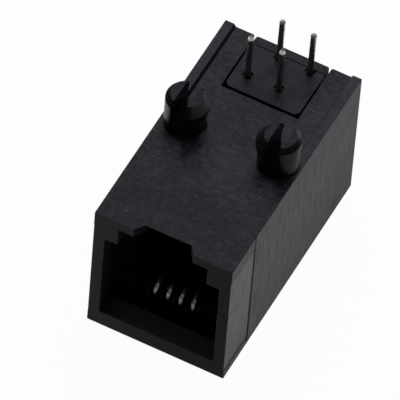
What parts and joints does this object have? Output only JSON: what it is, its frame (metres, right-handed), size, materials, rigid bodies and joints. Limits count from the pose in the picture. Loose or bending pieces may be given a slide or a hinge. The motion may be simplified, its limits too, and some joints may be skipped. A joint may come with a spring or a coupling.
{
  "type": "modular jack",
  "caption": "Right-angle modular jack for a circuit board: moulded housing with a latch-slotted mouth and split board pegs, an insert with bent spring wires, and staggered solder tails.",
  "frame": {"origin": "under the middle of the body, on the resting face that lies opposite the board face", "axes": "+X across the mouth, +Y from the mouth to the back face, +Z from the resting face to the board face"},
  "size_m": [0.0112, 0.0206, 0.0168],
  "materials": {
    "housing_plastic": "black glass-filled moulding, matt with a fine streaky grain",
    "insert_plastic": "black moulding, a little smoother than the housing",
    "contact_wire": "plated copper-alloy wire, bright where it bends and at its points"
  },
  "bodies": {
    "root": {"housing": "housing_plastic", "contact_insert": "insert_plastic", "rear_cover": "insert_plastic", "contact_1": "contact_wire", "contact_2": "contact_wire", "contact_3": "contact_wire", "contact_4": "contact_wire"}
  },
  "joints": []
}
